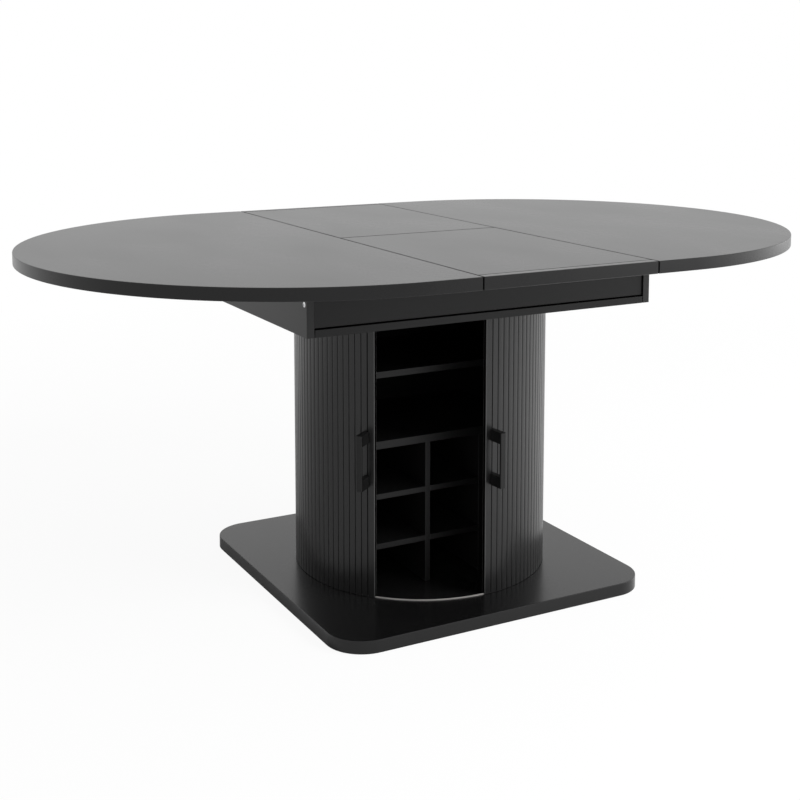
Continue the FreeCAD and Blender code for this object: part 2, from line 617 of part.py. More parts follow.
# Tambour door: a wide stile with a handle, slats in a polar pattern and a canvas that joins their backs.
def door(side, word, rest):
    foot, head = f"({BASE_TOP} + foot_gap)", f"({TRAY_LOW} + head_entry)"
    groove = f"(groove_width / drum_radius * 180 / {math.pi} / 2)"
    play = f"(slat_gap / drum_radius * 180 / {math.pi})"
    deep = "drum_radius - groove_depth"
    flat = "drum_radius / cos(slat_angle / 2)"
    back = f"{SLAT_BACK} / cos(slat_angle / 2)"
    stile_back = f"{SLAT_BACK} / cos(stile_angle / 2)"
    low_rail = (f"{RAIL_IN} - track_gap", f"{RAIL_OUT} + track_gap", f"{foot} - overrun",
                f"{RAIL_TOP} + track_gap")

    body = new_body(f"stile_blank_{word}")
    corners = [polar(stile_back, "0", side), polar(deep, "0", side), polar(flat, groove, side),
               polar(flat, f"stile_angle - {groove}", side), polar(deep, "stile_angle", side),
               polar(flat, f"stile_angle + {groove}", side), polar(flat, f"{STILE_SWEEP} - {groove}", side),
               polar(deep, f"{STILE_SWEEP} - {play}", side),
               polar(stile_back, f"{STILE_SWEEP} - {play}", side), polar(stile_back, "stile_angle", side)]
    pad(body, outline(body_sketch(body, "XY_Plane", f"stile_outline_{word}", foot), corners),
        f"stile_pad_{word}", f"{head} - {foot}")
    screw_seat = f"({CANVAS_BACK} - board_gap)"
    spots = [(screw_seat, "0", f"handle_low + {level}") for level in
             ("handle_leg / 2", "handle_length - handle_leg / 2")]
    drill = bores(f"handle_bores_{word}", "+x", spots, "screw_radius", "handle_screw_length + bore_gap")
    tools = fuse(f"stile_tools_{word}", [ring(f"stile_rail_cut_{word}", *low_rail), drill])
    turn(piece(cut(f"door_stile_{word}", body, tools), f"door_stile_{word}"), rest)

    slats = new_body(f"door_slats_{word}")
    centre = f"({STILE_SWEEP} + slat_angle / 2)"
    near, far = f"({centre} - slat_angle / 2)", f"({centre} + slat_angle / 2)"
    corners = [polar(back, f"{near} + {play} / 2", side), polar(deep, f"{near} + {play} / 2", side),
               polar(flat, f"{near} + {groove}", side), polar(flat, f"{far} - {groove}", side),
               polar(deep, f"{far} - {play} / 2", side), polar(back, f"{far} - {play} / 2", side)]
    sketch = outline(body_sketch(slats, "XY_Plane", f"slat_outline_{word}", foot), corners)
    first = pad(slats, sketch, f"slat_pad_{word}", f"{head} - {foot}")
    pattern = slats.newObject("PartDesign::PolarPattern", f"slat_pattern_{word}")
    pattern.Originals = [first]
    pattern.Axis = (sketch, ["N_Axis"])
    pattern.Reversed = side < 0
    bind(pattern, Angle="slat_angle * (slat_count - 1)", Occurrences="slat_count")
    slats.Tip = pattern
    doc.recompute()
    notch = outline(body_sketch(slats, "XZ_Plane", f"slat_notch_{word}"),
                    [(low_rail[0], low_rail[2]), (low_rail[1], low_rail[2]),
                     (low_rail[1], low_rail[3]), (low_rail[0], low_rail[3])])
    rail_cut = slats.newObject("PartDesign::Groove", f"slat_rail_cut_{word}")
    rail_cut.Profile = notch
    rail_cut.ReferenceAxis = (notch, ["V_Axis"])
    rail_cut.Angle = 360
    slats.Tip = rail_cut
    turn(piece(slats, f"door_slats_{word}"), rest)

    sheet_cloth = ring(f"canvas_plain_{word}", CANVAS_BACK, SLAT_BACK, f"{RAIL_TOP} + track_gap",
                       f"{TRAY_LOW} - track_gap", DOOR_SWEEP)
    start = "-handle_angle" if side > 0 else f"handle_angle - {DOOR_SWEEP}"
    turn(sheet_cloth, start)
    turn(piece(cut(f"door_canvas_{word}", sheet_cloth, drill), f"door_canvas_{word}"), rest)

    grip = new_body(f"handle_blank_{word}")
    seat = "(drum_radius / cos(slat_angle / 2) + handle_seat)"
    out = f"({seat} + handle_reach)"
    bar = f"({out} - handle_bar)"
    low, high = "handle_low", "(handle_low + handle_length)"
    corners = [(seat, low), (out, low), (out, high), (seat, high), (seat, f"{high} - handle_leg"),
               (bar, f"{high} - handle_leg"), (bar, f"{low} + handle_leg"), (seat, f"{low} + handle_leg")]
    bow = pad(grip, outline(body_sketch(grip, "XZ_Plane", f"handle_side_{word}"), corners),
              f"handle_pad_{word}", "handle_width", centred=True)
    limit = bow.Shape.BoundBox.XMax
    rounded(grip, bow, f"handle_edges_{word}", "handle_round",
            lambda edge: edge.BoundBox.XMin > limit - edge.Length / 1000)
    turn(piece(cut(f"door_handle_{word}", grip, drill), f"door_handle_{word}"), rest)
    turn(screws(f"handle_screws_{word}", "+x", spots, "screw_radius", "handle_screw_length",
                "screw_head_radius", "handle_screw_head"), rest)


cabinet(base())
drum_shell()
tray()
top_holes = slides()
for hand, hand_word in ((-1, "left"), (1, "right")):
    top_half(hand, hand_word, top_holes[hand_word])
for hand, hand_word in ((-1, "front"), (1, "rear")):
    leaf_board(hand, hand_word)
door(-1, "left", f"-({CLOSED_ANGLE} + 2 * meet_angle + door_travel + handle_angle)")
door(1, "right", f"-({CLOSED_ANGLE} - handle_angle)")
doc.recompute()

faults = [item.Label for item in doc.Objects if {"Invalid", "Error"} & set(item.State)]
faults += [item.Label for item in pieces if item.Shape.isNull() or not item.Shape.isValid()]
if faults:
    raise RuntimeError("these failed to build: " + ", ".join(faults))
os.makedirs("parts", exist_ok=True)
for item in pieces:
    item.Shape.exportStep(f"parts/{item.Label}.step")
    print(item.Label, len(item.Shape.Solids), round(item.Shape.Volume / 1000, 1))
print(len(pieces), "nodes")
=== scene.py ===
import json
import math

import bmesh
import bpy
from mathutils import Euler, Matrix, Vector


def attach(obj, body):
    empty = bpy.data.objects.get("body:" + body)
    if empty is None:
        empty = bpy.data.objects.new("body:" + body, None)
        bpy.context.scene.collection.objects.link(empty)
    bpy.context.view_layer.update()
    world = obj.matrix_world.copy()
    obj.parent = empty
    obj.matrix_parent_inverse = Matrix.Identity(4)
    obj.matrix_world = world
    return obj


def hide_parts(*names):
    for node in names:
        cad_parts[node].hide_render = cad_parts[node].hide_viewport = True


# Black extending table on a fluted drum cabinet: finishes, eased boards, tambour slats, screws and slides.
# All lengths are in metres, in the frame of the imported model.

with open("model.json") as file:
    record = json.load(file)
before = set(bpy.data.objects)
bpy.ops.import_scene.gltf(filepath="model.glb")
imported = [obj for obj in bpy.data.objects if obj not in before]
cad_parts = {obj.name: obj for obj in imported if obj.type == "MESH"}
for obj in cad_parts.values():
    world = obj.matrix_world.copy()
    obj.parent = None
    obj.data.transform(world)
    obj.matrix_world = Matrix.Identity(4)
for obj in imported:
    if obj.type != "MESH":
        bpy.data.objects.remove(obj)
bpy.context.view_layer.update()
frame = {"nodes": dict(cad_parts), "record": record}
scene = bpy.context.scene
print("frame loaded:", len(frame["nodes"]), "nodes")


# camera of the photograph
photoCamera = {
    "place": (-1.4338, -2.5777, 1.1565),
    "yaw": 28.22,  # degrees from +Y towards +X
    "pitch": 6.609,  # degrees below the horizon
    "lens": 59.256,
    "shift": -0.23125,  # the photograph is framed below the lens axis
}


def setCamera(view):
    data = bpy.data.cameras.new("photoCamera")
    data.lens = view["lens"]
    data.shift_y = view["shift"]
    data.clip_end = 60
    camera = bpy.data.objects.new("photoCamera", data)
    scene.collection.objects.link(camera)
    camera.location = view["place"]
    camera.rotation_euler = Euler((math.radians(90 - view["pitch"]), 0, -math.radians(view["yaw"])))
    scene.camera = camera


setCamera(photoCamera)
print("camera set")


# node sockets as numbers and vectors
class Wire:
    def __init__(self, tree, socket=None):
        self.tree = tree
        self.socket = socket

    def node(self, kind, settings, sockets, output=0):
        made = self.tree.nodes.new(kind)
        for name, value in settings.items():
            setattr(made, name, value)
        for name, value in sockets.items():
            if isinstance(value, Wire):
                self.tree.links.new(value.socket, made.inputs[name])
            else:
                made.inputs[name].default_value = value
        return Wire(self.tree, made.outputs[output] if made.outputs else None)

    def maths(self, operation, first, second=0.0):
        return self.node("ShaderNodeMath", {"operation": operation}, {0: first, 1: second})

    def vector(self, operation, second):
        return self.node("ShaderNodeVectorMath", {"operation": operation}, {0: self, 1: second})

    def part(self, letter):
        return self.node("ShaderNodeSeparateXYZ", {}, {0: self}, "XYZ".index(letter))

    def __add__(self, other):
        return self.maths("ADD", self, other)

    def __sub__(self, other):
        return self.maths("SUBTRACT", self, other)

    def __rsub__(self, other):
        return self.maths("SUBTRACT", other, self)

    def __mul__(self, other):
        return self.maths("MULTIPLY", self, other)

    def __truediv__(self, other):
        return self.maths("DIVIDE", self, other)

    __radd__ = __add__
    __rmul__ = __mul__


noiseMean = 0.5


def noise(start, coords, size, detail=2.0, stretch=(1, 1, 1)):
    # a grey noise whose grains are about the given size, drawn out along an axis by its stretch
    spread = start.node("ShaderNodeMapping", {}, {"Vector": coords, "Scale": [1 / s for s in stretch]})
    return start.node("ShaderNodeTexNoise", {}, {"Vector": spread, "Scale": 1 / size, "Detail": detail})


def mixColour(start, factor, first, second):
    # sockets 6 and 7 and output 2 are the colour ones of a Mix node
    return start.node("ShaderNodeMix", {"data_type": "RGBA"}, {0: factor, 6: first, 7: second}, 2)


def tone(start, factor, finish):
    return mixColour(start, factor, (*finish["dark"], 1), (*finish["light"], 1))


def relief(start, height, finish):
    return start.node("ShaderNodeBump", {}, {
        "Height": height, "Strength": finish["relief"], "Distance": finish["depth"]})


def objectCoords(start):
    return start.node("ShaderNodeTexCoord", {}, {}, "Object")


def newMaterial(name):
    material = bpy.data.materials.new(name)
    material.use_nodes = True
    material.node_tree.nodes.clear()
    return material, Wire(material.node_tree)


def finishMaterial(start, constants, links, felt=None):
    # constants go on the shader's own sockets, and what changes over the surface is linked
    shader = start.node("ShaderNodeBsdfPrincipled", {}, {**constants, **links})
    # a matt black cover goes over the marked faces as painted shade
    if felt:
        cover = start.node("ShaderNodeBsdfPrincipled", {}, {
            "Base Color": (*felt["colour"], 1), "Roughness": felt["roughness"],
            "Specular IOR Level": felt["shine"]})
        shader = start.node("ShaderNodeMixShader", {}, {0: meshMark(start, "felt"), 1: shader, 2: cover})
    start.node("ShaderNodeOutputMaterial", {}, {"Surface": shader})


def edgeWearAndHighlight(start):
    # 0 on level and upright faces, rising on the eased edges between them, where the colour is painted
    # lighter for scuffing and a painted highlight
    normal = start.node("ShaderNodeTexCoord", {}, {}, "Normal")
    up = start.maths("ABSOLUTE", normal.part("Z"))
    across = start.maths("SQRT", 1.0001 - up * up)  # a hair over 1, so that the root stays real
    return 1 - start.maths("MAXIMUM", up, across)


def meshMark(start, name):
    # 1 on the faces that the mesh marks: its eased upright arrises, which get a painted highlight, or a
    #                                     stile's faces that meet the other door, which get a matt black cover
    #                                     as painted shade
    return start.node("ShaderNodeAttribute", {"attribute_name": name}, {}, "Fac")


def laminate(name, finish):
    # pressed black laminate: a fine pearl grain, cloudy sheen, and edges painted a little lighter for
    # scuffing and a painted highlight
    material, start = newMaterial(name)
    coords = objectCoords(start)
    pearl = noise(start, coords, finish["grain"], 3)
    cloud = noise(start, coords, finish["cloud"], 2, finish["drawn"])
    wornAndLit = edgeWearAndHighlight(start) * finish["wear"] + meshMark(start, "arris") * finish["arrisWearAndHighlight"]
    pattern = cloud * (1 - finish["pearlShare"]) + pearl * finish["pearlShare"]
    colour = tone(start, start.maths("MAXIMUM", pattern - finish["darken"], 0.0), finish)
    colour = mixColour(start, start.maths("MINIMUM", wornAndLit, 1.0), colour, (*finish["rubbedAndLit"], 1))
    gloss = finish["roughness"] + (cloud - noiseMean) * finish["uneven"]
    gloss = gloss + (pearl - noiseMean) * finish["pearlGloss"]
    finishMaterial(start, {"Specular IOR Level": finish["shine"], "IOR": finish["ior"]},
                   {"Base Color": colour, "Roughness": gloss, "Normal": relief(start, pearl, finish)})
    return material


def tambourFoil(name, finish):
    # foil on wood strips: an upright grain, and painted shade with some dust in the grooves between the
    # strips
    material, start = newMaterial(name)
    coords = objectCoords(start)
    grain = noise(start, coords, finish["grain"], 3, (1, 1, finish["grainLength"]))
    cloud = noise(start, coords, finish["cloud"], 2)
    # below the strips' outer face the colour is painted darker: painted shade in the grooves and on the side
    # faces
    radius = start.node("ShaderNodeVectorMath", {"operation": "LENGTH"},
                        {0: coords.vector("MULTIPLY", (1, 1, 0))}, "Value")
    groove = start.node("ShaderNodeMapRange", {"clamp": True}, {
        "Value": radius, "From Min": finish["radius"] - finish["grooveDepth"],
        "From Max": finish["radius"], "To Min": 1.0, "To Max": 0.0})
    pattern = cloud * (1 - finish["grainShare"]) + grain * finish["grainShare"]
    colour = tone(start, start.maths("MAXIMUM", pattern - finish["darken"], 0.0), finish)
    colour = mixColour(start, groove * finish["paintedGrooveShade"], colour, (*finish["groove"], 1))
    # the marked arrises are painted lighter, for scuffing and a painted highlight along the stiles' edges
    colour = mixColour(start, meshMark(start, "arris") * finish["arrisWearAndHighlight"], colour, (*finish["rubbedAndLit"], 1))
    gloss = finish["roughness"] + (grain - noiseMean) * finish["grainGloss"] + groove * finish["grooveGloss"]
    finishMaterial(start, {"Specular IOR Level": finish["shine"], "IOR": finish["ior"]},
                   {"Base Color": colour, "Roughness": gloss, "Normal": relief(start, grain, finish)},
                   finish.get("felt"))
    return material


def powderCoat(name, finish):
    # fine speckled coat, or a plain moulded surface, with its edges painted lighter for scuffing and a
    # painted highlight
    material, start = newMaterial(name)
    coords = objectCoords(start)
    speck = noise(start, coords, finish["grain"], 1)
    cloud = noise(start, coords, finish["cloud"], 2)
    wornAndLit = edgeWearAndHighlight(start) + meshMark(start, "arris") * finish["arrisWearAndHighlight"]
    colour = tone(start, speck * finish["speckShare"] + wornAndLit * finish["wear"], finish)
    gloss = finish["roughness"] + (cloud - noiseMean) * finish["uneven"]
    finishMaterial(start, {"Specular IOR Level": finish["shine"], "IOR": finish["ior"]},
                   {"Base Color": colour, "Roughness": gloss, "Normal": relief(start, speck, finish)})
    return material


def drawnMetal(name, finish):
    # rolled or drawn metal with fine lines along one axis and a faint spangle
    material, start = newMaterial(name)
    coords = objectCoords(start)
    lines = noise(start, coords, finish["line"], 3, finish["drawn"])
    spangle = start.node("ShaderNodeTexVoronoi", {}, {
        "Vector": coords, "Scale": 1 / finish["spangle"]}, "Color")
    spangle = start.node("ShaderNodeRGBToBW", {}, {0: spangle})
    colour = tone(start, lines * finish["lineShare"] + spangle * (1 - finish["lineShare"]), finish)
    gloss = finish["roughness"] + (lines - noiseMean) * finish["lineGloss"]
    finishMaterial(start, {"Metallic": finish["metal"]},
                   {"Base Color": colour, "Roughness": gloss, "Normal": relief(start, lines, finish)})
    return material


def wovenCloth(name, finish):
    # plain weave that follows the drum: one thread direction runs round it and the other upright
    material, start = newMaterial(name)
    coords = objectCoords(start)
    around = start.maths("ARCTAN2", coords.part("Y"), coords.part("X")) * finish["radius"]
    turns = math.tau / finish["thread"]
    warp = start.maths("SINE", around * turns)
    weft = start.maths("SINE", coords.part("Z") * turns)
    weave = warp * weft * 0.5 + 0.5  # from 0 to 1
    fuzz = noise(start, coords, finish["fuzz"], 3)
    colour = tone(start, weave * (1 - finish["fuzzShare"]) + fuzz * finish["fuzzShare"], finish)
    gloss = finish["roughness"] + (fuzz - noiseMean) * finish["uneven"]
    height = weave + fuzz * finish["fuzzShare"]
    finishMaterial(start, {"Sheen Weight": finish["sheen"]}, {
        "Base Color": colour, "Roughness": gloss, "Normal": relief(start, height, finish)})
    return material


# the lighter edge colour stands for scuffing and a painted highlight
boardFinish = {
    "dark": (0.004, 0.004, 0.0041), "light": (0.009, 0.009, 0.0092), "rubbedAndLit": (0.040, 0.040, 0.041),
    "roughness": 0.32, "uneven": 0.05, "pearlGloss": 0.04, "shine": 0.25, "ior": 1.48,
    "wear": 1.2, "arrisWearAndHighlight": 0.5, "grain": 0.0012, "pearlShare": 0.5, "darken": 0.15,
    "cloud": 0.16, "drawn": (1, 2.5, 1), "relief": 0.2, "depth": 0.00005,
}
topFinish = {**boardFinish, "shine": 0.28, "roughness": 0.28}
baseFinish = {**boardFinish, "roughness": 0.26, "cloud": 0.12, "shine": 0.38}
trayFinish = {**boardFinish, "roughness": 0.42, "shine": 0.235}
trayEndFinish = {**trayFinish, "shine": 0.34}
cabinetFinish = {**boardFinish, "roughness": 0.42, "shine": 0.24, "dark": (0.006, 0.006, 0.006)}
tambourFinish = {
    "dark": (0.0045, 0.0045, 0.0046), "light": (0.010, 0.010, 0.0102), "groove": (0.0012, 0.0012, 0.0012),
    "rubbedAndLit": (0.07, 0.07, 0.07), "arrisWearAndHighlight": 0.8, "roughness": 0.29, "grainGloss": 0.12, "grooveGloss": 0.5,
    "shine": 0.44, "ior": 1.48, "grain": 0.0009, "grainLength": 40, "grainShare": 0.6, "darken": 0.15,
    "cloud": 0.07, "radius": 0.285, "grooveDepth": 0.0020, "paintedGrooveShade": 0.95, "relief": 0.35,
    "depth": 0.00012,
}
wallFinish = {**tambourFinish, "radius": 0.2725}
# a matt near-black cover without shine: painted shade on the stiles' meeting faces
meetingShadeCover = {"colour": (0.0012, 0.0012, 0.0012), "roughness": 1.0, "shine": 0.02}
stileFinish = {**tambourFinish, "felt": meetingShadeCover}
# a handle's eased edges are painted lighter for scuffing and a painted highlight on its top corners
handleFinish = {
    "dark": (0.003, 0.003, 0.003), "light": (0.010, 0.010, 0.010), "roughness": 0.34, "uneven": 0.1,
    "shine": 0.26, "ior": 1.5, "grain": 0.0005, "speckShare": 0.6, "cloud": 0.02, "wear": 2.0,
    "arrisWearAndHighlight": 0.3, "relief": 0.3, "depth": 0.00005,
}
railFinish = {
    "dark": (0.55, 0.53, 0.51), "light": (0.68, 0.66, 0.64), "roughness": 0.45, "lineGloss": 0.2,
    "metal": 0.6, "line": 0.0006, "lineShare": 0.6, "drawn": (8, 8, 1), "spangle": 0.004,
    "relief": 0.2, "depth": 0.00004,
}
slideFinish = {
    **railFinish, "dark": (0.42, 0.43, 0.45), "light": (0.62, 0.63, 0.65), "roughness": 0.36,
    "metal": 1.0, "line": 0.0005, "drawn": (60, 1, 1), "spangle": 0.006,
}
screwFinish = {
    **slideFinish, "dark": (0.60, 0.60, 0.61), "light": (0.82, 0.82, 0.83), "roughness": 0.25,
    "drawn": (1, 1, 1), "spangle": 0.003,
}
barrelFinish = {
    **slideFinish, "dark": (0.50, 0.36, 0.14), "light": (0.72, 0.55, 0.25), "roughness": 0.3,
    "drawn": (1, 1, 1),
}
clothFinish = {
    "dark": (0.004, 0.004, 0.004), "light": (0.020, 0.020, 0.020), "roughness": 0.85, "uneven": 0.1,
    "sheen": 0.2, "thread": 0.0008, "fuzz": 0.0004, "fuzzShare": 0.4, "radius": 0.2762,
    "relief": 0.6, "depth": 0.0002,
}
glideFinish = {**handleFinish, "roughness": 0.8, "shine": 0.2, "grain": 0.0012}

finishes = {
    "tabletop": laminate("topLaminate", topFinish),
    "base_board": laminate("baseLaminate", baseFinish),
    "tray_board": laminate("trayLaminate", trayFinish),
    "cabinet_board": laminate("cabinetLaminate", cabinetFinish),
    "tambour": tambourFoil("tambourFoil", tambourFinish),
    "handle_metal": powderCoat("handleCoat", handleFinish),
    "rail_aluminium": drawnMetal("railAluminium", railFinish),
    "slide_steel": drawnMetal("slideZinc", slideFinish),
    "fastener_steel": drawnMetal("screwSteel", screwFinish),
    "hinge_metal": drawnMetal("barrelBrass", barrelFinish),
    "door_cloth": wovenCloth("doorCanvas", clothFinish),
    "glide_plastic": powderCoat("glidePlastic", glideFinish),
}
trayEndLaminate = laminate("trayEndLaminate", trayEndFinish)
stileFoil = tambourFoil("stileFoil", stileFinish)
ownFinish = {
    "back_wall": tambourFoil("wallFoil", wallFinish),
    "tray_end_left": trayEndLaminate, "tray_end_right": trayEndLaminate,
    "door_stile_left": stileFoil, "door_stile_right": stileFoil,
}
slotOf = {row["node"]: row["material_slot"] for row in frame["record"]["subparts"]}
bodyOf = {node: body for body, nodes in frame["record"]["behaviour"]["bodies"].items() for node in nodes}
for name, node in frame["nodes"].items():
    node.data.materials.clear()
    node.data.materials.append(ownFinish.get(name, finishes[slotOf[name]]))
print("finishes made:", len({*finishes.values(), *ownFinish.values()}))


def pieceName(node):
    first, *rest = node.split("_")
    return first + "".join(word.title() for word in rest)


def asPiece(mesh, node):
    # a finished mesh that takes the place, the body and the finish of a node
    piece = bpy.data.objects.new(pieceName(node), mesh)
    scene.collection.objects.link(piece)
    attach(piece, bodyOf[node])
    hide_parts(node)
    return piece


# boards and handles with their arrises eased, so that each edge catches a thin line of light
easing = {
    "radius": 0.0006, "steps": 2,
    "sharp": 40, "flat": 0.2,  # degrees between faces
    "upright": 0.2,  # the most that an upright face leans
    "merge": 1e-6,
}
doorEdges = {"left": (-138.12, -1), "right": (-89.88, 1)}  # degrees, and the way the slats run from there
doorArris = {"radius": 0.0012, "near": 0.6, "out": 0.2835}  # each door's leading arris
leafTrim = {
    "side": 0.0010, "sideFrom": 0.19,  # how far a leaf is drawn in at the halves, and what lies there
    "fold": 0.0014, "foldWithin": 0.003,  # and at the fold
    "groovePlace": 0.574, "grooveWidth": 0.0036, "grooveDepth": 0.0018, "grooveSlope": 0.0001,
    "face": 0.774, "slack": 1e-5,
}
slimGrip = {
    "left": -142.12, "right": -85.88,  # degrees to the middle of each handle
    "bar": 0.3114, "slimmer": 0.0052,  # inner face of the grip, from the drum's axis
    "low": 0.294, "high": 0.362, "taller": 0.0018,  # hand gap
    "near": 0.0018,
}
easedBoards = (
    "leaf_front", "leaf_rear", "base_plate", "side_panel_left", "side_panel_right", "upper_shelf",
    "rack_top_shelf", "rack_divider_left", "rack_divider_right", "rack_shelf_left_upper",
    "rack_shelf_left_lower", "rack_shelf_middle_upper", "rack_shelf_middle_lower",
    "rack_shelf_right_upper", "rack_shelf_right_lower", "tray_end_left", "tray_end_right",
    "tray_front", "tray_rear", "tray_floor", "door_stile_left", "door_stile_right",
    "door_handle_left", "door_handle_right",
)


def ease(work, corners, radius, steps):
    # rounds the corners over, and marks what is upright of them for a painted highlight along the arrises
    mark = work.faces.layers.float.get("arris") or work.faces.layers.float.new("arris")
    made = bmesh.ops.bevel(work, geom=corners, offset=radius, segments=steps, profile=0.5,
                           affect="EDGES", clamp_overlap=True, harden_normals=False)
    for face in made["faces"]:
        if abs(face.normal.z) < easing["upright"]:
            face[mark] = 1.0


def leads(edge, angle):
    # whether an edge is a door's leading arris
    middle = (edge.verts[0].co + edge.verts[1].co) / 2
    away = math.degrees(math.atan2(middle.y, middle.x)) - angle
    return abs(away) < doorArris["near"] and math.hypot(middle.x, middle.y) > doorArris["out"]


def trimLeaf(work, side):
    # draws a leaf in at its seams, and cuts the joint groove near its outer end
    for vert in work.verts:
        if abs(vert.co.x) > leafTrim["sideFrom"]:
            vert.co.x -= math.copysign(leafTrim["side"], vert.co.x)
        if abs(vert.co.y) < leafTrim["foldWithin"]:
            vert.co.y += side * leafTrim["fold"]
    half = leafTrim["grooveWidth"] / 2
    foot = half - leafTrim["grooveSlope"]
    for place in (-half, -foot, foot, half):
        bmesh.ops.bisect_plane(work, geom=work.verts[:] + work.edges[:] + work.faces[:], dist=1e-7,
                               plane_co=(0, side * (leafTrim["groovePlace"] + place), 0), plane_no=(0, 1, 0))
    for vert in work.verts:
        off = abs(abs(vert.co.y) - leafTrim["groovePlace"])
        if off < foot + leafTrim["slack"] and vert.co.z > leafTrim["face"]:
            vert.co.z -= leafTrim["grooveDepth"]


def markShadeCover(work, angle):
    # the faces of a stile that meet the other door, which get a matt black cover as painted shade
    mark = work.faces.layers.float.new("felt")
    for face in work.faces:
        middle = face.calc_center_median()
        outward = Vector((middle.x, middle.y, 0)).normalized()
        away = math.degrees(math.atan2(middle.y, middle.x)) - angle
        turned = abs(face.normal.dot(outward)) < 0.5 and abs(face.normal.z) < easing["upright"]
        if turned and abs(away) < doorArris["near"]:
            face[mark] = 1.0


def slimHandle(work, turn):
    # opens the hand gap: the grip gets slimmer and the legs lower
    way = Vector((math.cos(math.radians(turn)), math.sin(math.radians(turn)), 0))
    near = slimGrip["near"]
    middle = (slimGrip["low"] + slimGrip["high"]) / 2
    half = (slimGrip["high"] - slimGrip["low"]) / 2
    for vert in work.verts:
        out = vert.co.dot(way)
        rise = vert.co.z - middle
        if abs(rise) < half + near and out < slimGrip["bar"] + near:
            vert.co.z += math.copysign(slimGrip["taller"], rise)
            if out > slimGrip["bar"] - near:
                vert.co += way * slimGrip["slimmer"]


def mergedCopy(node):
    # a node's mesh with its loose triangles joined
    work = bmesh.new()
    work.from_mesh(frame["nodes"][node].data)
    bmesh.ops.remove_doubles(work, verts=work.verts, dist=easing["merge"])
    return work


def smooth(mesh):
    mesh.shade_smooth()
    mesh.set_sharp_from_angle(angle=math.radians(easing["sharp"]))


def plainMesh(work, name, material):
    mesh = bpy.data.meshes.new(name)
    work.to_mesh(mesh)
    work.free()
    smooth(mesh)
    mesh.materials.append(material)
    return mesh


def easedCopy(node, settings):
    work = mergedCopy(node)
    flat = math.radians(settings["flat"])
    bmesh.ops.dissolve_limit(work, angle_limit=flat, verts=work.verts, edges=work.edges)
    sharp = math.radians(settings["sharp"])
    words = node.split("_")
    if "handle" in words:
        slimHandle(work, slimGrip[words[-1]])
    if "stile" in words:
        angle = doorEdges[words[-1]][0]
        ease(work, [e for e in work.edges if leads(e, angle)], doorArris["radius"], settings["steps"])
    corners = [e for e in work.edges if len(e.link_faces) == 2 and e.calc_face_angle() > sharp]
    ease(work, corners, settings["radius"], settings["steps"])
    if "stile" in words:
        markShadeCover(work, angle)
    if "leaf" in words:
        trimLeaf(work, 1 if "rear" in words else -1)
    return plainMesh(work, node + "Eased", frame["nodes"][node].data.materials[0])


def weighFaces(piece):
    # flat faces keep their own normal beside the eased edges
    steady = piece.modifiers.new("steadyFaces", "WEIGHTED_NORMAL")
    steady.keep_sharp = True
    steady.weight = 100


for node in easedBoards:
    weighFaces(asPiece(easedCopy(node, easing), node))
print("boards eased:", len(easedBoards))


# round halves of the top: rings of one outline, drawn in at the rims
halves = {
    "seam": 0.2010,  # from the middle of the table
    "middle": 0.295,
    "radius": 0.595,
    "low": 0.750,
    "high": 0.775,
    "rim": 0.0015,
    "seamEase": 0.0004,
    "rimSteps": 4,
    "arcSteps": 180,
}


def halfOutline(side, inset, seamInset):
    # points of one half's outline, the seam's two corners first
    radius = halves["radius"] - inset
    middle = halves["middle"]
    points = [(halves["seam"] + seamInset, radius), (halves["seam"] + seamInset, -radius)]
    for step in range(halves["arcSteps"] + 1):
        angle = math.pi * (step / halves["arcSteps"] - 0.5)
        points.append((middle + radius * math.cos(angle), radius * math.sin(angle)))
    return [(side * x, y) for x, y in points]


def makeHalf(side, node):
    steps = halves["rimSteps"]
    turns = [math.pi / 2 * k / steps for k in range(steps + 1)]
    levels = [(1 - math.sin(a), halves["low"] + halves["rim"] * (1 - math.cos(a))) for a in turns]
    levels += [(1 - math.cos(a), halves["high"] - halves["rim"] * (1 - math.sin(a))) for a in turns]
    work = bmesh.new()
    rings = []
    for share, height in levels:
        outline = halfOutline(side, halves["rim"] * share, halves["seamEase"] * share)
        rings.append([work.verts.new((x, y, height)) for x, y in outline])
    count = len(rings[0])
    for below, above in zip(rings, rings[1:]):
        for k in range(count):
            work.faces.new((below[k], below[(k + 1) % count], above[(k + 1) % count], above[k]))
    work.faces.new(rings[0])
    work.faces.new(rings[-1])
    bmesh.ops.recalc_face_normals(work, faces=work.faces)
    weighFaces(asPiece(plainMesh(work, node + "Shaped", finishes["tabletop"]), node))


makeHalf(-1, "top_left")
makeHalf(1, "top_right")
print("top halves made")


# geometry node trees for what repeats
def newTree(name, inputs):
    tree = bpy.data.node_groups.new(name, "GeometryNodeTree")
    tree.interface.new_socket("Geometry", in_out="INPUT", socket_type="NodeSocketGeometry")
    for label, (kind, value) in inputs.items():
        socket = tree.interface.new_socket(label, in_out="INPUT", socket_type="NodeSocket" + kind)
        if value is not None:
            socket.default_value = value
    tree.interface.new_socket("Geometry", in_out="OUTPUT", socket_type="NodeSocketGeometry")
    entry = tree.nodes.new("NodeGroupInput")
    wires = {label: Wire(tree, entry.outputs[label]) for label in ("Geometry", *inputs)}
    return tree, wires


def endTree(shape, material):
    solid = shape.node("GeometryNodeRealizeInstances", {}, {0: shape})
    dressed = solid.node("GeometryNodeSetMaterial", {}, {"Geometry": solid, "Material": material})
    dressed.node("NodeGroupOutput", {}, {0: dressed})


def joined(*shapes):
    made = shapes[0].tree.nodes.new("GeometryNodeJoinGeometry")
    for shape in reversed(shapes):
        shape.tree.links.new(shape.socket, made.inputs[0])
    return Wire(shapes[0].tree, made.outputs[0])


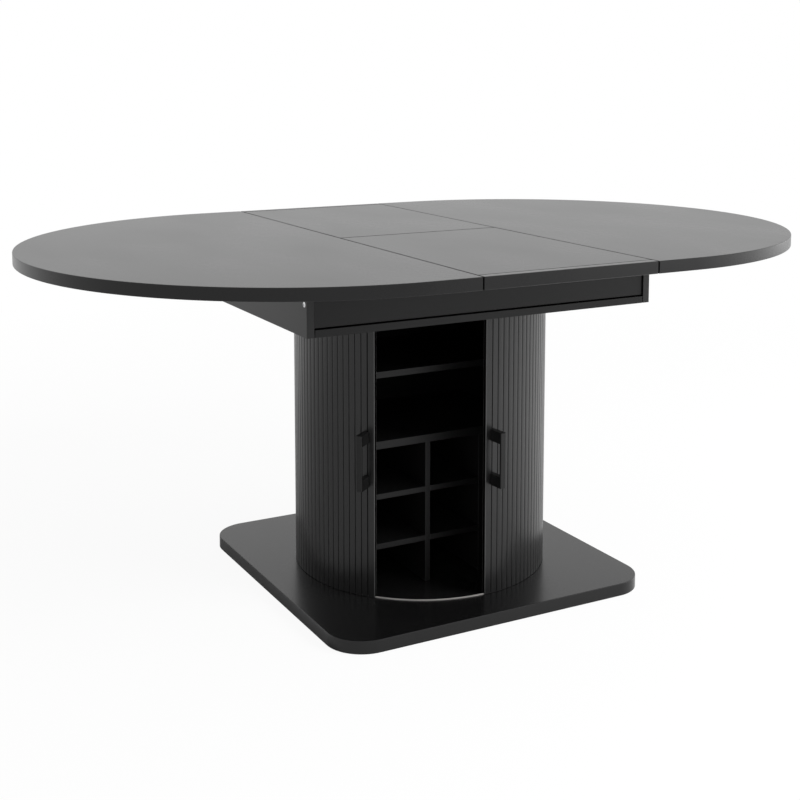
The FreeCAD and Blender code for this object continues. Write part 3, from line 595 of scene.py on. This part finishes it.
def runTree(tree, start, values, node):
    # the tree's result as a plain mesh piece
    holder = bpy.data.objects.new(node + "Holder", start)
    scene.collection.objects.link(holder)
    modifier = holder.modifiers.new("tree", "NODES")
    modifier.node_group = tree
    for item in tree.interface.items_tree:
        if item.in_out == "INPUT" and item.name in values:
            modifier[item.identifier] = values[item.name]
    settled = holder.evaluated_get(bpy.context.evaluated_depsgraph_get())
    mesh = bpy.data.meshes.new_from_object(settled)
    bpy.data.objects.remove(holder)
    smooth(mesh)
    return asPiece(mesh, node)


# tambour slats
slats = {
    "count": 30,
    "pitch": 3.0,  # degrees
    "radius": 0.285,  # outer face
    "thick": 0.008,
    "play": 0.0010,
    "round": 0.0013,  # shoulders of each slat
    "backShare": 0.15,  # of that rounding at its back corners
    "roundSteps": 4,
    "low": 0.0288,
    "high": 0.632,
    "railIn": 0.2792,  # slot over the guide rail
    "railOut": 0.2828,
    "railTop": 0.0308,
    "slotSteps": 240,
    "stile": 6.4,  # degrees from a door's edge to its first slat
}


def slatTree():
    tree, given = newTree("slatRow", {
        "Count": ("Int", slats["count"]), "Pitch": ("Float", math.radians(slats["pitch"])),
        "First": ("Float", 0.0), "Radius": ("Float", slats["radius"]), "Thick": ("Float", slats["thick"]),
        "Play": ("Float", slats["play"]), "Round": ("Float", slats["round"]), "Low": ("Float", slats["low"]),
        "High": ("Float", slats["high"]), "Slot In": ("Float", slats["railIn"]),
        "Slot Out": ("Float", slats["railOut"]), "Slot Top": ("Float", slats["railTop"]),
        "Material": ("Material", None)})
    first = given["Geometry"]
    tangent = first.maths("TANGENT", given["Pitch"] / 2)
    outer = given["Radius"] * tangent - given["Play"] / 2
    back = given["Radius"] - given["Thick"]
    inner = back * tangent - given["Play"] / 2

    def point(x, y):
        return first.node("ShaderNodeCombineXYZ", {}, {0: x, 1: y})

    section = first.node("GeometryNodeCurvePrimitiveQuadrilateral", {"mode": "POINTS"}, {
        "Point 1": point(back, inner * -1), "Point 2": point(given["Radius"], outer * -1),
        "Point 3": point(given["Radius"], outer), "Point 4": point(back, inner)})
    number = first.node("GeometryNodeInputIndex", {}, {})
    # of the section's points 0 to 3, the shoulders are 1 and 2
    shoulder = first.maths("LESS_THAN", first.maths("ABSOLUTE", number - 1.5), 1.0)
    share = shoulder * (1 - slats["backShare"]) + slats["backShare"]
    section = first.node("GeometryNodeFilletCurve", {"mode": "POLY"}, {
        "Curve": section, "Radius": given["Round"] * share, "Limit Radius": True,
        "Count": slats["roundSteps"]})
    face = first.node("GeometryNodeFillCurve", {"mode": "NGONS"}, {"Curve": section})
    tall = given["High"] - given["Low"]
    rise = first.node("ShaderNodeCombineXYZ", {}, {2: 1.0})
    body = first.node("GeometryNodeExtrudeMesh", {}, {
        "Mesh": face, "Offset": rise, "Offset Scale": tall, "Individual": False})
    foot = first.node("GeometryNodeFlipFaces", {}, {"Mesh": face})
    closed = first.node("GeometryNodeMergeByDistance", {}, {
        "Geometry": joined(body, foot), "Distance": easing["merge"]})
    lift = first.node("ShaderNodeCombineXYZ", {}, {2: given["Low"]})
    strip = first.node("GeometryNodeTransform", {}, {"Geometry": closed, "Translation": lift})
    points = first.node("GeometryNodePoints", {}, {"Count": given["Count"]})
    swing = first.node("ShaderNodeCombineXYZ", {}, {2: given["First"] + number * given["Pitch"]})
    row = first.node("GeometryNodeInstanceOnPoints", {}, {
        "Points": points, "Instance": strip, "Rotation": swing})
    row = first.node("GeometryNodeRealizeInstances", {}, {0: row})
    track = first.node("GeometryNodeCurvePrimitiveCircle", {"mode": "RADIUS"}, {
        "Resolution": slats["slotSteps"], "Radius": (given["Slot In"] + given["Slot Out"]) / 2})
    slotHigh = (given["Slot Top"] - given["Low"]) * 2
    slot = first.node("GeometryNodeCurvePrimitiveQuadrilateral", {"mode": "RECTANGLE"}, {
        "Width": given["Slot Out"] - given["Slot In"], "Height": slotHigh})
    ringCut = first.node("GeometryNodeCurveToMesh", {}, {"Curve": track, "Profile Curve": slot})
    ringCut = first.node("GeometryNodeTransform", {}, {"Geometry": ringCut, "Translation": lift})
    carved = first.node("GeometryNodeMeshBoolean", {"operation": "DIFFERENCE"}, {
        "Mesh 1": row, "Mesh 2": ringCut})
    endTree(carved, given["Material"])
    return tree


def makeSlats():
    tree = slatTree()
    for hand, (edge, way) in doorEdges.items():
        pitch = slats["pitch"]
        nearest = edge + way * (slats["stile"] + pitch / 2)
        lowest = nearest if way > 0 else nearest - pitch * (slats["count"] - 1)
        values = {"First": math.radians(lowest), "Material": finishes["tambour"]}
        runTree(tree, bpy.data.meshes.new("none"), values, "door_slats_" + hand)


makeSlats()
print("slats made:", slats["count"] * 2)


# screws with a domed head and a six-sided socket
def islandsOf(node):
    # the box of each separate solid of a node
    work = mergedCopy(node)
    boxes, left = [], set(work.verts)
    while left:
        group, queue = [], [left.pop()]
        while queue:
            vert = queue.pop()
            group.append(vert.co)
            for edge in vert.link_edges:
                other = edge.other_vert(vert)
                if other in left:
                    left.discard(other)
                    queue.append(other)
        low = Vector([min(co[k] for co in group) for k in range(3)])
        high = Vector([max(co[k] for co in group) for k in range(3)])
        boxes.append((low, high))
    work.free()
    return sorted(boxes, key=lambda pair: tuple(round(v, 5) for v in pair[0]))


screwShape = {
    "headRadius": 0.0045, "headThick": 0.0025, "shankRadius": 0.0025, "length": 0.02,
    "dome": 0.0002,  # how far the dome's top stands over the head's thickness
    "domeShare": 4.0,  # the dome's radius in head radii
    "socketShare": 0.5,  # of the head's radius
    "socketDepthShare": 0.65,  # of the head's thickness
    "headSides": 28, "domeSides": 40, "socketSides": 6, "shankSides": 20,
}


def screwTree():
    headRadius, headThick = screwShape["headRadius"], screwShape["headThick"]
    tree, given = newTree("screwRow", {
        "Head Radius": ("Float", headRadius), "Head Thick": ("Float", headThick),
        "Shank Radius": ("Float", screwShape["shankRadius"]), "Length": ("Float", screwShape["length"]),
        "Socket Radius": ("Float", headRadius * screwShape["socketShare"]),
        "Socket Depth": ("Float", headThick * screwShape["socketDepthShare"]),
        "Dome": ("Float", screwShape["dome"]), "Material": ("Material", None)})
    first = given["Geometry"]

    def lifted(shape, height):
        return first.node("GeometryNodeTransform", {}, {
            "Geometry": shape, "Translation": first.node("ShaderNodeCombineXYZ", {}, {2: height})})

    head = first.node("GeometryNodeMeshCylinder", {}, {
        "Vertices": screwShape["headSides"], "Radius": given["Head Radius"], "Depth": given["Head Thick"]})
    head = lifted(head, given["Head Thick"] / 2)
    domeRadius = given["Head Radius"] * screwShape["domeShare"]
    ball = first.node("GeometryNodeMeshUVSphere", {}, {
        "Segments": screwShape["domeSides"], "Rings": screwShape["domeSides"], "Radius": domeRadius})
    ball = lifted(ball, given["Head Thick"] - domeRadius + given["Dome"])
    # both meshes of an overlap go into its second socket
    head = first.node("GeometryNodeMeshBoolean", {"operation": "INTERSECT", "solver": "EXACT"}, {
        "Mesh 2": head})
    first.tree.links.new(ball.socket, head.socket.node.inputs["Mesh 2"])
    drive = first.node("GeometryNodeMeshCylinder", {}, {
        "Vertices": screwShape["socketSides"], "Radius": given["Socket Radius"],
        "Depth": given["Socket Depth"] * 2})
    drive = lifted(drive, given["Head Thick"])
    head = first.node("GeometryNodeMeshBoolean", {"operation": "DIFFERENCE", "solver": "EXACT"}, {
        "Mesh 1": head, "Mesh 2": drive})
    shank = first.node("GeometryNodeMeshCylinder", {}, {
        "Vertices": screwShape["shankSides"], "Radius": given["Shank Radius"], "Depth": given["Length"]})
    shank = lifted(shank, given["Length"] * -0.5)
    way = first.node("GeometryNodeInputNamedAttribute", {"data_type": "FLOAT_VECTOR"}, {"Name": "headWay"})
    turned = first.node("FunctionNodeAlignRotationToVector", {"axis": "Z"}, {"Vector": way})
    row = first.node("GeometryNodeInstanceOnPoints", {}, {
        "Points": first, "Instance": joined(head, shank), "Rotation": turned})
    endTree(row, given["Material"])
    return tree


def downward(centre):
    return Vector((0, 0, -1))


def upward(centre):
    return Vector((0, 0, 1))


def endward(centre):
    return Vector((math.copysign(1, centre.x), 0, 0))


def inward(centre):
    return -Vector((centre.x, centre.y, 0)).normalized()


# each node with the way that its heads face, the head's radius and thickness, and the shank's length
screwSets = {
    "base_screws": (downward, 0.0045, 0.0025, 0.060),
    "corner_screws": (endward, 0.0055, 0.0025, 0.050),
    "tray_screws": (upward, 0.0045, 0.0025, 0.028),
    "bracket_screws_left": (downward, 0.0045, 0.0025, 0.018),
    "bracket_screws_right": (downward, 0.0045, 0.0025, 0.018),
    "handle_screws_left": (inward, 0.0045, 0.0015, 0.020),
    "handle_screws_right": (inward, 0.0045, 0.0015, 0.020),
}


def makeScrews():
    tree = screwTree()
    for node, (wayOf, headRadius, headThick, length) in screwSets.items():
        spots, ways = [], []
        for low, high in islandsOf(node):
            centre = (low + high) / 2
            way = wayOf(centre)
            spots.append(centre + way * ((length + headThick) / 2 - headThick))
            ways.append(way)
        start = bpy.data.meshes.new("spots")
        start.from_pydata([tuple(spot) for spot in spots], [], [])
        data = start.attributes.new("headWay", "FLOAT_VECTOR", "POINT").data
        data.foreach_set("vector", [value for way in ways for value in way])
        values = {
            "Head Radius": headRadius, "Head Thick": headThick, "Length": length,
            "Socket Radius": headRadius * screwShape["socketShare"],
            "Socket Depth": headThick * screwShape["socketDepthShare"],
            "Material": finishes["fastener_steel"]}
        runTree(tree, start, values, node)


makeScrews()
print("screws made:", len(screwSets), "rows")


# plain floor and soft light
floorPlan = {
    "colour": (0.95, 0.95, 0.95),
    "side": 40.0,
    "whiteShare": 0.93,  # of the floor near the table that the camera sees glowing white
    "mirrorShare": 0.05,  # and that a glossy surface mirrors so
    "whiteFrom": 1.6,  # distances from the table between which all of it comes to glow
    "whiteTo": 3.6,
}
skyLevel = 0.55
keyLight = {"place": (2.6, -2.9, 2.6), "sides": (2.2, 2.2), "power": 200, "mirrored": False}
sideLight = {"place": (4.3, -1.7, 0.85), "sides": (7.0, 1.4), "power": 60, "mirrored": True}
lampAim = (0, 0, 0.5)


def rayKinds(start):
    # 1 for what the camera sees itself, and 1 for what it sees in a mirror or through glass
    names = ("Is Camera Ray", "Is Glossy Ray", "Is Transmission Ray")
    rays = [start.node("ShaderNodeLightPath", {}, {}, name) for name in names]
    return rays[0], start.maths("MAXIMUM", rays[1], rays[2])


def makeFloor(settings):
    # white paint whose far part glows, so that the floor fades into the white behind it
    half = settings["side"] / 2
    corners = [(-half, -half, 0), (half, -half, 0), (half, half, 0), (-half, half, 0)]
    mesh = bpy.data.meshes.new("floor")
    mesh.from_pydata(corners, [], [(0, 1, 2, 3)])
    floor = bpy.data.objects.new("floor", mesh)
    scene.collection.objects.link(floor)
    material, start = newMaterial("floorPaint")
    coords = objectCoords(start)
    away = start.node("ShaderNodeVectorMath", {"operation": "LENGTH"}, {0: coords}, "Value")
    far = start.node("ShaderNodeMapRange", {"clamp": True}, {
        "Value": away, "From Min": settings["whiteFrom"], "From Max": settings["whiteTo"]})
    seen, mirrored = rayKinds(start)
    seen = seen * (far * (1 - settings["whiteShare"]) + settings["whiteShare"])
    mirrored = mirrored * (far * (1 - settings["mirrorShare"]) + settings["mirrorShare"])
    paint = start.node("ShaderNodeBsdfDiffuse", {}, {"Color": (*settings["colour"], 1)})
    glow = start.node("ShaderNodeEmission", {}, {"Color": (1, 1, 1, 1), "Strength": 1.0})
    mixed = start.node("ShaderNodeMixShader", {}, {
        0: start.maths("MAXIMUM", seen, mirrored), 1: paint, 2: glow})
    start.node("ShaderNodeOutputMaterial", {}, {"Surface": mixed})
    mesh.materials.append(material)


def makeLamp(name, settings):
    data = bpy.data.lights.new(name, "AREA")
    data.shape = "RECTANGLE"
    data.size, data.size_y = settings["sides"]
    data.energy = settings["power"]
    lamp = bpy.data.objects.new(name, data)
    scene.collection.objects.link(lamp)
    lamp.location = settings["place"]
    lamp.visible_camera = False
    lamp.visible_glossy = settings["mirrored"]
    toward = Vector(lampAim) - Vector(settings["place"])
    lamp.rotation_euler = toward.to_track_quat("-Z", "Y").to_euler()


def makeSky(level):
    world = bpy.data.worlds.new("studio")
    world.use_nodes = True
    world.node_tree.nodes.clear()
    scene.world = world
    start = Wire(world.node_tree)
    strength = start.maths("MAXIMUM", *rayKinds(start)) * (1 - level) + level  # white where it is seen
    sky = start.node("ShaderNodeBackground", {}, {"Color": (1, 1, 1, 1), "Strength": strength})
    start.node("ShaderNodeOutputWorld", {}, {"Surface": sky})


makeFloor(floorPlan)
makeSky(skyLevel)
makeLamp("keyLamp", keyLight)
makeLamp("sideLamp", sideLight)
scene.view_settings.view_transform = "Standard"
print("floor and light set")
